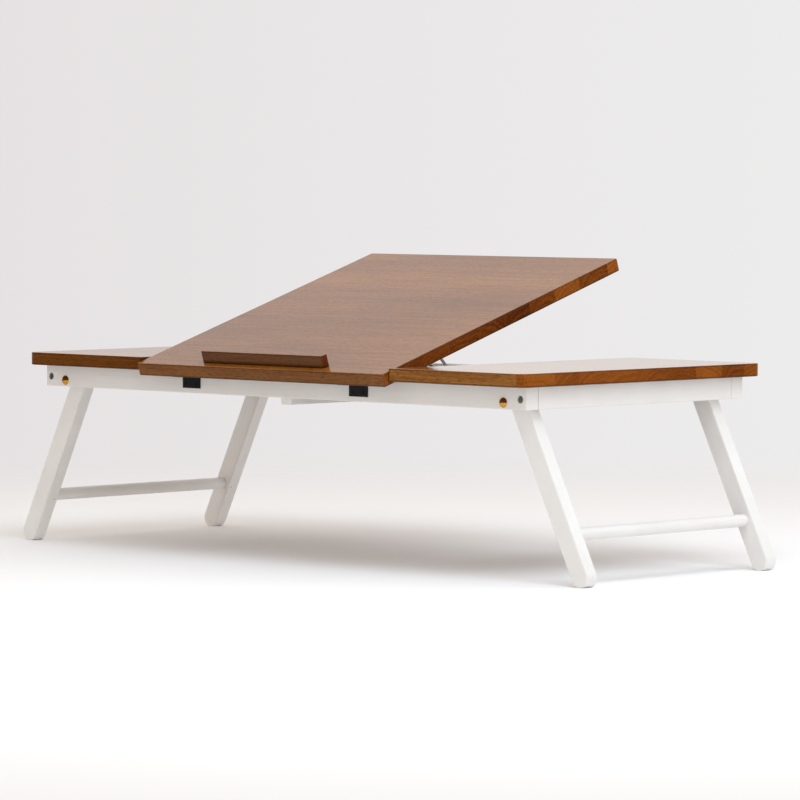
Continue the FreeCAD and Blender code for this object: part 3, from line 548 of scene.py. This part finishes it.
def stain_and_painted_shade(tree, wood, pores, broad, place, low, high):
    """The stained wood with dark pores, and painted shade along the corners and over the underside.
    """
    pore = add(tree, "Math", {0: pores, 1: PORE_DEPTH}, operation="MULTIPLY")
    edge = edge_distance(tree, place, low, high)
    near = add(tree, "MapRange", {
        "Value": edge, "From Min": CORNER_SHADE_INNER, "From Max": CORNER_SHADE_OUTER,
        "To Min": CORNER_SHADE_DEPTH, "To Max": 0.0,
    })
    narrow = add(tree, "Math", {0: 1.0, 1: broad}, operation="SUBTRACT")
    # painted shade along the corners of the narrow faces
    line = add(tree, "Math", {0: near.outputs[0], 1: narrow.outputs[0]}, operation="MULTIPLY")
    # painted shade under the board: darker from the lower edge on over the underside
    height = add(tree, "SeparateXYZ", {0: place}).outputs["Z"]
    above = add(tree, "Math", {0: height, 1: low[2]}, operation="SUBTRACT")
    under = add(tree, "MapRange", {
        "Value": above.outputs[0], "From Max": UNDERSIDE_SHADE_REACH,
        "To Min": UNDERSIDE_SHADE_DEPTH, "To Max": 0.0,
    })
    for mask, brown in ((pore, PORE_BROWN), (line, CORNER_SHADE_BROWN), (under, UNDERSIDE_SHADE_BROWN)):
        wood = add(tree, "Mix", {
            0: mask.outputs[0], 6: wood, 7: colour(brown),
        }, data_type="RGBA").outputs[2]
    return wood


# the width of the painted shade line along the corners, and how far the painted shade reaches up
# from the lower edge
print("stain line", CORNER_SHADE_OUTER, "mm wide, lower edge", UNDERSIDE_SHADE_REACH, "mm")

# %% [markdown]
# The lacquer is a clear film over dull wood, so it is the shader's coat, and the wood under it does
# not shine. It gives the eye a broad sheen: seen at a low angle, the top turns pale. The film is
# thinner on the narrow faces, where it runs off. Each board has tints of its own for its faces,
# edges and ends, because the strips of one board come from other trees than those of the next. The
# edge tints are partly painted shade: where one is darker than its board's face tint, it darkens
# the narrow front faces as shade would.

# %% Stained and lacquered rubberwood
WOOD_ROUGHNESS = (0.42, 0.56)
LACQUER_ROUGHNESS = 0.12
LACQUER_IOR = 1.4
EDGE_LACQUER = 0.5
PORE_RELIEF = -0.6
WOOD_RELIEF = 0.0003  # metres


def stained_rubberwood(name, node, turn, tints_and_edge_shade, lacquer, first_strip, strip_spread):
    """Stained wood, laid square to one board. The tints colour its faces, edges and ends; darker
    edge tints paint shade on its narrow faces.
    """
    material, tree, shader = new_material(name)
    place, normal = on_piece(tree, turn)
    low, high = local_box(node, turn)
    middle_y, chance = glued_strip(tree, place, first_strip)
    rings = growth_rings(tree, place, middle_y, (low[2] + high[2]) / 2, chance)
    fibres, pores, blotch = fibres_pores_blotches(tree, place)
    end_grain, broad = face_masks(tree, normal, turn)
    wood = wood_colour(tree, rings, chance, fibres, blotch, end_grain, strip_spread)

    # the edge tint is partly painted shade: where it is darker than the face tint, it darkens the
    # narrow faces as shade would
    face_stain, edge_tint_and_shade, end_stain = [colour(stain) for stain in tints_and_edge_shade]
    narrow_tint_and_shade = add(tree, "Mix", {0: end_grain, 6: edge_tint_and_shade, 7: end_stain}, data_type="RGBA")
    stain = add(tree, "Mix", {
        0: broad, 6: narrow_tint_and_shade.outputs[2], 7: face_stain,
    }, data_type="RGBA")
    stained = add(tree, "Mix", {
        0: 1.0, 6: wood, 7: stain.outputs[2],
    }, data_type="RGBA", blend_type="MULTIPLY")
    finished = stain_and_painted_shade(tree, stained.outputs[2], pores, broad, place, low, high)
    tree.links.new(finished, shader.inputs["Base Color"])

    dull, duller = WOOD_ROUGHNESS
    rough = add(tree, "MapRange", {"Value": fibres, "To Min": dull, "To Max": duller})
    tree.links.new(rough.outputs[0], shader.inputs["Roughness"])
    shader.inputs["Specular IOR Level"].default_value = 0.0
    film = add(tree, "MapRange", {
        "Value": broad, "To Min": EDGE_LACQUER * lacquer, "To Max": lacquer,
    })
    tree.links.new(film.outputs[0], shader.inputs["Coat Weight"])
    shader.inputs["Coat Roughness"].default_value = LACQUER_ROUGHNESS
    shader.inputs["Coat IOR"].default_value = LACQUER_IOR
    relief = add(tree, "Math", {0: pores, 1: PORE_RELIEF, 2: fibres}, operation="MULTIPLY_ADD")
    bump = add(tree, "Bump", {
        "Strength": 0.25, "Distance": WOOD_RELIEF, "Height": relief.outputs[0],
    })
    tree.links.new(bump.outputs[0], shader.inputs["Normal"])
    return material


print("lacquer IOR", LACQUER_IOR, "roughness", LACQUER_ROUGHNESS)

# %% [markdown]
# ## White lacquered wood
# Rails, legs, stretchers and the rack are wood sprayed with white satin paint. A thin coat does
# not hide wood fully: the fibres show as faint long ridges when light rakes across, and the film
# has a fine pebbled skin. Edges that get handled turn a little warmer. The fibres follow each
# piece, so the recipe is laid along its length, also along the slanted legs.

# %% White paint recipe
PAINT_FRESH = "#E9E7E4"
PAINT_HANDLED = "#E3E0DC"
PAINT_THIN = "#D9D5CF"
PAINT_RUBBED = "#DAD2C7"
PAINT_IOR = 1.48
PAINT_ROUGHNESS = (0.34, 0.50)
PAINT_FIBRE_LENGTH = 60.0
PAINT_FIBRE_WIDTH = 1.8
PEBBLE_SIZE = 1.1
PEBBLE_RELIEF = 0.35
HANDLED_PATCH = 45.0
PAINT_THINNEST = 0.35
PAINT_EDGE_RUB = 1.4
PAINT_EDGE_WEAR = 0.5
PAINT_RELIEF = 0.0002  # metres


def white_lacquer(name, node, turn, grain_axis):
    """White satin paint on wood, with its grain along one axis of the turned piece."""
    material, tree, shader = new_material(name)
    place, _ = on_piece(tree, turn)
    fine = [1 / PAINT_FIBRE_WIDTH] * 3
    fine[grain_axis] = 1 / PAINT_FIBRE_LENGTH
    stretch = add(tree, "Mapping", {"Vector": place, "Scale": fine})
    fibres = add(tree, "TexNoise", {"Vector": stretch.outputs[0], "Scale": 1.0, "Detail": 3.0})
    pebbles = add(tree, "TexNoise", {"Vector": place, "Scale": 1 / PEBBLE_SIZE, "Detail": 2.0})
    patches = add(tree, "TexNoise", {"Vector": place, "Scale": 1 / HANDLED_PATCH, "Detail": 3.0})

    handled = add(tree, "MapRange", {
        "Value": patches.outputs["Fac"], "From Min": 0.3, "From Max": 0.75,
    })
    thin = add(tree, "MapRange", {
        "Value": fibres.outputs["Fac"], "From Min": 0.55, "From Max": 0.8, "To Max": PAINT_THINNEST,
    })
    rubbed = add(tree, "MapRange", {
        "Value": edge_distance(tree, place, *local_box(node, turn)),
        "From Min": 0.1, "From Max": PAINT_EDGE_RUB, "To Min": PAINT_EDGE_WEAR, "To Max": 0.0,
    })
    coat = colour(PAINT_FRESH)
    for mask, tint in ((handled, PAINT_HANDLED), (thin, PAINT_THIN), (rubbed, PAINT_RUBBED)):
        coat = add(tree, "Mix", {
            0: mask.outputs[0], 6: coat, 7: colour(tint),
        }, data_type="RGBA").outputs[2]
    tree.links.new(coat, shader.inputs["Base Color"])

    smooth, rough = PAINT_ROUGHNESS
    gloss = add(tree, "MapRange", {
        "Value": patches.outputs["Fac"], "To Min": smooth, "To Max": rough,
    })
    tree.links.new(gloss.outputs[0], shader.inputs["Roughness"])
    shader.inputs["IOR"].default_value = PAINT_IOR
    relief = add(tree, "Math", {
        0: pebbles.outputs["Fac"], 1: PEBBLE_RELIEF, 2: fibres.outputs["Fac"],
    }, operation="MULTIPLY_ADD")
    bump = add(tree, "Bump", {
        "Strength": 0.18, "Distance": PAINT_RELIEF, "Height": relief.outputs[0],
    })
    tree.links.new(bump.outputs[0], shader.inputs["Normal"])
    return material


print("paint pebbles", PEBBLE_SIZE, "mm, fibres", PAINT_FIBRE_WIDTH, "mm")

# %% [markdown]
# ## Bare metals
# The pivot bolts are brass-plated steel, polished. The screws are zinc-plated, and the prop is
# drawn steel wire. A bare metal has no colour under its shine, so its colour is the colour of its
# reflection. The differences are in how smooth it is: plating and drawing leave fine lines and a
# slight haze. Real lines are finer than a pixel, so they are drawn as coarse as they need to
# show.

# %% Bare metal recipe
HAZE_TO_MARKS = 6
METAL_RELIEF = 0.00005  # metres


def bare_metal(name, hex_bright, hex_dull, rough_low, rough_high, mark_size, mark_stretch):
    """A metal with haze and fine marks, mark_size in millimetres, drawn out along x, y and z."""
    material, tree, shader = new_material(name)
    place, _ = on_piece(tree)
    drawn = add(tree, "Mapping", {
        "Vector": place, "Scale": [1 / (mark_size * step) for step in mark_stretch],
    })
    marks = add(tree, "TexNoise", {"Vector": drawn.outputs[0], "Scale": 1.0, "Detail": 4.0})
    haze = add(tree, "TexNoise", {
        "Vector": place, "Scale": 1 / (HAZE_TO_MARKS * mark_size), "Detail": 3.0,
    })
    tint = add(tree, "Mix", {
        0: haze.outputs["Fac"], 6: colour(hex_bright), 7: colour(hex_dull),
    }, data_type="RGBA")
    tree.links.new(tint.outputs[2], shader.inputs["Base Color"])
    gloss = add(tree, "MapRange", {
        "Value": marks.outputs["Fac"], "From Min": 0.3, "From Max": 0.7,
        "To Min": rough_low, "To Max": rough_high,
    })
    tree.links.new(gloss.outputs[0], shader.inputs["Roughness"])
    shader.inputs["Metallic"].default_value = 1.0
    bump = add(tree, "Bump", {
        "Strength": 0.15, "Distance": METAL_RELIEF, "Height": marks.outputs["Fac"],
    })
    tree.links.new(bump.outputs[0], shader.inputs["Normal"])
    return material


# polished brass plate gives the bolts mirror-like domes
brass = bare_metal("brass_plate", "#D8A24A", "#B47A2C", 0.08, 0.18, 0.8, (1, 1, 1))
# zinc plate gives the screws and clips a dull grey with a broad highlight
zinc = bare_metal("zinc_plate", "#A9A7A2", "#7E7C78", 0.28, 0.45, 0.7, (1, 1, 1))
# the drawn wire stands in the plane of y and z, and its lines draw the highlight out along it
drawn_steel = bare_metal("drawn_steel", "#A29B92", "#817A70", 0.22, 0.38, 0.5, (1, 8, 8))
# the ground pins lie along x and have a clean narrow shine
bright_pin = bare_metal("bright_steel", "#B5B3B0", "#97948F", 0.18, 0.30, 0.5, (8, 1, 1))
print("metals", [metal.name for metal in (brass, zinc, drawn_steel, bright_pin)])

# %% [markdown]
# ## Black hinges
# The hinges are pressed steel with a baked black coat, like stove enamel. The coat covers the
# metal, so this is a dark dielectric with a soft highlight, and it wears to grey only along the
# edges of a leaf. That thin grey line is what keeps a black hinge from looking like a hole in the
# rail.

# %% Baked black coat recipe
COAT_BLACK = "#060607"
COAT_WORN = "#3A3836"
COAT_IOR = 1.4
COAT_ROUGHNESS = (0.26, 0.42)
COAT_WEAR = 0.5
COAT_WEAR_DEPTH = 0.5
COAT_GRAIN = 0.6
COAT_SMEAR = 5.0


def baked_black_steel(name, node, turn):
    """Steel under a baked black coat, which wears to grey along the edges of the leaf."""
    material, tree, shader = new_material(name)
    place, _ = on_piece(tree, turn)
    grains = add(tree, "TexNoise", {"Vector": place, "Scale": 1 / COAT_GRAIN, "Detail": 3.0})
    smears = add(tree, "TexNoise", {"Vector": place, "Scale": 1 / COAT_SMEAR, "Detail": 2.0})
    worn = add(tree, "MapRange", {
        "Value": edge_distance(tree, place, *local_box(node, turn)),
        "From Min": 0.0, "From Max": COAT_WEAR, "To Min": COAT_WEAR_DEPTH, "To Max": 0.0,
    })
    spotty = add(tree, "Math", {
        0: worn.outputs[0], 1: smears.outputs["Fac"],
    }, operation="MULTIPLY")
    tint = add(tree, "Mix", {
        0: spotty.outputs[0], 6: colour(COAT_BLACK), 7: colour(COAT_WORN),
    }, data_type="RGBA")
    tree.links.new(tint.outputs[2], shader.inputs["Base Color"])
    smooth, rough = COAT_ROUGHNESS
    gloss = add(tree, "MapRange", {
        "Value": smears.outputs["Fac"], "To Min": smooth, "To Max": rough,
    })
    tree.links.new(gloss.outputs[0], shader.inputs["Roughness"])
    shader.inputs["IOR"].default_value = COAT_IOR
    bump = add(tree, "Bump", {
        "Strength": 0.2, "Distance": METAL_RELIEF, "Height": grains.outputs["Fac"],
    })
    tree.links.new(bump.outputs[0], shader.inputs["Normal"])
    return material


print("coat worn over the outer", COAT_WEAR, "mm")

# %% [markdown]
# ## Beech dowels
# The dowels that hold the rack are plain fluted beech, glued in and out of sight. They still get
# their real finish: pale, dull, with the short flecks that beech shows.

# %% Beech recipe
FLECK_SIZE = (0.6, 4.0, 0.6)
FLECK_TONES = [(0.1, "#B98A5E"), (0.5, "#DDB98F")]
BEECH_ROUGHNESS = 0.65
BEECH_RELIEF = 0.0001  # metres


def plain_beech(name):
    """Unfinished beech with small flecks along Y, the way the dowels lie."""
    material, tree, shader = new_material(name)
    place, _ = on_piece(tree)
    flecks = add(tree, "Mapping", {"Vector": place, "Scale": [1 / size for size in FLECK_SIZE]})
    cells = add(tree, "TexVoronoi", {"Vector": flecks.outputs[0], "Scale": 1.0})
    tint = add(tree, "ValToRGB", {"Fac": cells.outputs["Distance"]}, stops=FLECK_TONES)
    tree.links.new(tint.outputs[0], shader.inputs["Base Color"])
    shader.inputs["Roughness"].default_value = BEECH_ROUGHNESS
    bump = add(tree, "Bump", {
        "Strength": 0.2, "Distance": BEECH_RELIEF, "Height": cells.outputs["Distance"],
    })
    tree.links.new(bump.outputs[0], shader.inputs["Normal"])
    return material


print("beech flecks", FLECK_SIZE[1], "mm long")

# %% [markdown]
# ## Dressing the boards
# Each piece of wood gets its own material, because the recipe has to lie along that piece. The
# boards differ in their tints, in how much lacquer shows, and in which strips they were cut from:
# first_strip slides the board along one endless row of strips, and strip_spread says how much the
# strips differ on its ends.


# %% Give the boards their finish
def dress(node, material):
    """Puts a material on every slot of a piece."""
    for slot in nodes[node].material_slots:
        slot.material = material


# tints for face, edge and end; the darker edge tints of the left wing, the panel and the book stop
# are painted shade on their narrow front faces
BOARDS = {
    "left_wing_board": dict(
        turn=NO_TURN, tints_and_edge_shade=("#F0DDAA", "#B2A490", "#C8B8A0"),
        lacquer=0.755, first_strip=0.0, strip_spread=0.35,
    ),
    "right_wing_board": dict(
        turn=NO_TURN, tints_and_edge_shade=("#FFFFFF", "#EEF2FF", "#FFFAF4"),
        lacquer=1.0, first_strip=23.0, strip_spread=0.46,
    ),
    "tilt_panel": dict(
        turn=panel_turn, tints_and_edge_shade=("#F0E8DC", "#CCC6B6", "#FFFBE6"),
        lacquer=0.9, first_strip=42.2, strip_spread=0.54,
    ),
    "book_stop": dict(
        turn=panel_turn, tints_and_edge_shade=("#E0D8D4", "#A79D8E", "#B8A890"),
        lacquer=0.9, first_strip=0.0, strip_spread=0.35,
    ),
}
for board, recipe in BOARDS.items():
    dress(board, stained_rubberwood("stained_rubberwood_" + board, board, **recipe))
print("boards", list(BOARDS))

# %% [markdown]
# ## Dressing the painted pieces
# The grain of the long rails runs along X, that of the end rails, the rack and the stretchers
# along Y, and that of the legs down their length. A leg leans outward from its pivot to its foot,
# so its axes are turned back by the splay, which is worked out from the pivot and the stretcher.

# %% Give the painted pieces their finish
ALONG_X, ALONG_Y, ALONG_Z = range(3)


def leg_turn(side):
    """The turn that stands a leg upright: the leg leans outward from pivot to foot."""
    pivot = Vector(joints[side + "_leg_fold"]["pos_m"])
    low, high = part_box(side + "_stretcher")
    middle = (low + high) / 2
    lean = math.atan2(middle.x - pivot.x, pivot.z - middle.z)
    return Matrix.Rotation(lean, 3, "Y")


PAINTED = {
    "front_rail": (NO_TURN, ALONG_X),
    "rear_rail": (NO_TURN, ALONG_X),
    "notched_rack": (NO_TURN, ALONG_Y),
}
for side in ("left", "right"):
    upright = leg_turn(side)
    PAINTED[side + "_end_rail"] = (NO_TURN, ALONG_Y)
    PAINTED[side + "_stretcher"] = (NO_TURN, ALONG_Y)
    PAINTED[side + "_front_leg"] = (upright, ALONG_Z)
    PAINTED[side + "_rear_leg"] = (upright, ALONG_Z)
for piece, (turn, grain_axis) in PAINTED.items():
    dress(piece, white_lacquer("white_lacquer_" + piece, piece, turn, grain_axis))
print("right legs lean", round(math.degrees(upright.to_euler().y), 1), "degrees")

# %% [markdown]
# ## Dressing the metal pieces and the dowels
# Small pieces of one metal share one material. The black coat wears at the edges of each leaf, so
# every leaf has its own, turned with the panel where the leaf is screwed to it.

# %% Give the metal pieces and the dowels their finish
ZINC_PIECES = (
    "pivot_washers", "pivot_nuts", "corner_screws", "left_wing_screws", "right_wing_screws",
    "book_stop_screws", "wire_clip_screws", "left_wire_clip", "right_wire_clip",
    "left_stretcher_brads", "right_stretcher_brads",
)
BLACK_PIECES = {"hinge_frame_screws": NO_TURN, "hinge_panel_screws": panel_turn}
for side in ("left", "right"):
    BLACK_PIECES[side + "_hinge_frame_leaf"] = NO_TURN
    BLACK_PIECES[side + "_hinge_panel_leaf"] = panel_turn
    dress(side + "_hinge_pin", bright_pin)
for piece in ZINC_PIECES:
    dress(piece, zinc)
for piece, turn in BLACK_PIECES.items():
    dress(piece, baked_black_steel("baked_black_" + piece, piece, turn))
dress("pivot_bolts", brass)
dress("prop_wire", drawn_steel)
dress("rack_dowels", plain_beech("plain_beech"))
print("materials", len(bpy.data.materials))
